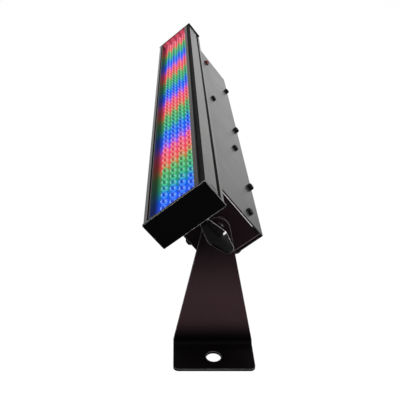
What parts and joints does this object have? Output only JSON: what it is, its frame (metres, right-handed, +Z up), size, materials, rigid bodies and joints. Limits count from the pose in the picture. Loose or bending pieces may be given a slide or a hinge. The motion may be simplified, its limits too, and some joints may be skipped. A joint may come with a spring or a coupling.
{
  "type": "led strip batten",
  "caption": "Long LED light bar with a driver box behind it, tilting between two splayed floor brackets clamped by wing knobs.",
  "frame": {"origin": "on the floor, midway between the fixing holes of the two feet", "axes": "+X along the bar towards the end nearest the camera, +Z up; the light faces -Y and up"},
  "size_m": [1, 0.1734, 0.3191],
  "materials": {
    "bracket_paint": "satin black paint",
    "knob_plastic": "glossy black",
    "bright_steel": "zinc plated",
    "friction_fibre": "matt black",
    "housing_paint": "black powder coat on an aluminium extrusion",
    "tray_paint": "satin dark grey",
    "led_board_mask": "matt black solder mask",
    "lens_blue": "clear lens lit blue",
    "lens_green": "clear lens lit green",
    "lens_red": "clear lens lit red",
    "strip_rubber": "matt black",
    "cap_plastic": "matt black",
    "box_paint": "black powder coat on sheet steel",
    "panel_paint": "dark brown-black paint",
    "black_screws": "black zinc",
    "psu_steel": "bare aluminium case",
    "pcb_green": "green solder mask",
    "standoff_brass": "turned brass",
    "black_plastic": "moulded black",
    "display_plastic": "smoked red window",
    "button_plastic": "light grey",
    "socket_metal": "dark nickel",
    "lamp_red": "clear red",
    "wire_cover": "red insulation"
  },
  "bodies": {
    "right_bracket": {"right_bracket": "bracket_paint"},
    "fixture": {"right_stud": "bright_steel", "left_stud": "bright_steel", "friction_discs": "friction_fibre", "light_housing": "housing_paint", "led_tray": "tray_paint", "led_boards": "led_board_mask", "board_screws": "bright_steel", "leds_blue": "lens_blue", "leds_green": "lens_green", "leds_red": "lens_red", "corner_strip": "strip_rubber", "right_end_cap": "cap_plastic", "left_end_cap": "cap_plastic", "box_channel": "box_paint", "back_cover": "box_paint", "right_end_panel": "panel_paint", "left_end_panel": "panel_paint", "pivot_bosses": "bright_steel", "side_screws": "black_screws", "panel_screws": "black_screws", "housing_screws": "bright_steel", "psu_case": "psu_steel", "psu_board": "pcb_green", "right_driver_board": "pcb_green", "left_driver_board": "pcb_green", "board_standoffs": "standoff_brass", "card_rails": "black_plastic", "control_board": "pcb_green", "control_plate": "black_plastic", "display_window": "display_plastic", "power_inlet": "black_plastic", "power_outlet": "black_plastic", "fuse_holder": "black_plastic", "data_inlet": "socket_metal", "data_outlet": "socket_metal", "lamp_bezel": "black_plastic", "lamp_lens": "lamp_red", "cable_grommet": "strip_rubber", "wiring": "wire_cover"},
    "left_bracket": {"left_bracket": "bracket_paint"},
    "right_knob": {"right_knob": "knob_plastic", "right_washer": "bright_steel"},
    "left_knob": {"left_knob": "knob_plastic", "left_washer": "bright_steel"},
    "menu_button_1": {"menu_button_1": "button_plastic"},
    "menu_button_2": {"menu_button_2": "button_plastic"},
    "menu_button_3": {"menu_button_3": "button_plastic"},
    "menu_button_4": {"menu_button_4": "button_plastic"},
    "fuse_cap": {"fuse_cap": "black_plastic"}
  },
  "joints": [
    {"name": "tilt", "type": "hinge", "parent": "right_bracket", "child": "fixture", "pos_m": [0.404, 0, 0.21], "axis": [1, 0, 0], "range_deg": [-139, 61]},
    {"name": "left_bracket_pivot", "type": "hinge", "parent": "fixture", "child": "left_bracket", "pos_m": [-0.404, 0, 0.21], "axis": [1, 0, 0], "range_deg": [-61, 139]},
    {"name": "right_knob_turn", "type": "hinge", "parent": "fixture", "child": "right_knob", "pos_m": [0.415, 0, 0.21], "axis": [1, 0, 0], "range_deg": [0, 360]},
    {"name": "left_knob_turn", "type": "hinge", "parent": "fixture", "child": "left_knob", "pos_m": [-0.415, 0, 0.21], "axis": [-1, 0, 0], "range_deg": [0, 360]},
    {"name": "menu_button_1_press", "type": "slide", "parent": "fixture", "child": "menu_button_1", "axis": [0, -0.6293, 0.7771], "range_m": [0, 0.0008], "stiffness_N_per_m": 800, "springref_m": -0.0005},
    {"name": "menu_button_2_press", "type": "slide", "parent": "fixture", "child": "menu_button_2", "axis": [0, -0.6293, 0.7771], "range_m": [0, 0.0008], "stiffness_N_per_m": 800, "springref_m": -0.0005},
    {"name": "menu_button_3_press", "type": "slide", "parent": "fixture", "child": "menu_button_3", "axis": [0, -0.6293, 0.7771], "range_m": [0, 0.0008], "stiffness_N_per_m": 800, "springref_m": -0.0005},
    {"name": "menu_button_4_press", "type": "slide", "parent": "fixture", "child": "menu_button_4", "axis": [0, -0.6293, 0.7771], "range_m": [0, 0.0008], "stiffness_N_per_m": 800, "springref_m": -0.0005},
    {"name": "fuse_cap_turn", "type": "hinge", "parent": "fixture", "child": "fuse_cap", "pos_m": [-0.262, 0.03524, 0.16648], "axis": [0, 0.6293, -0.7771], "range_deg": [0, 60]}
  ],
  "couplings": [
    {"joint": "left_bracket_pivot", "follows": "tilt", "ratio": -1}
  ]
}
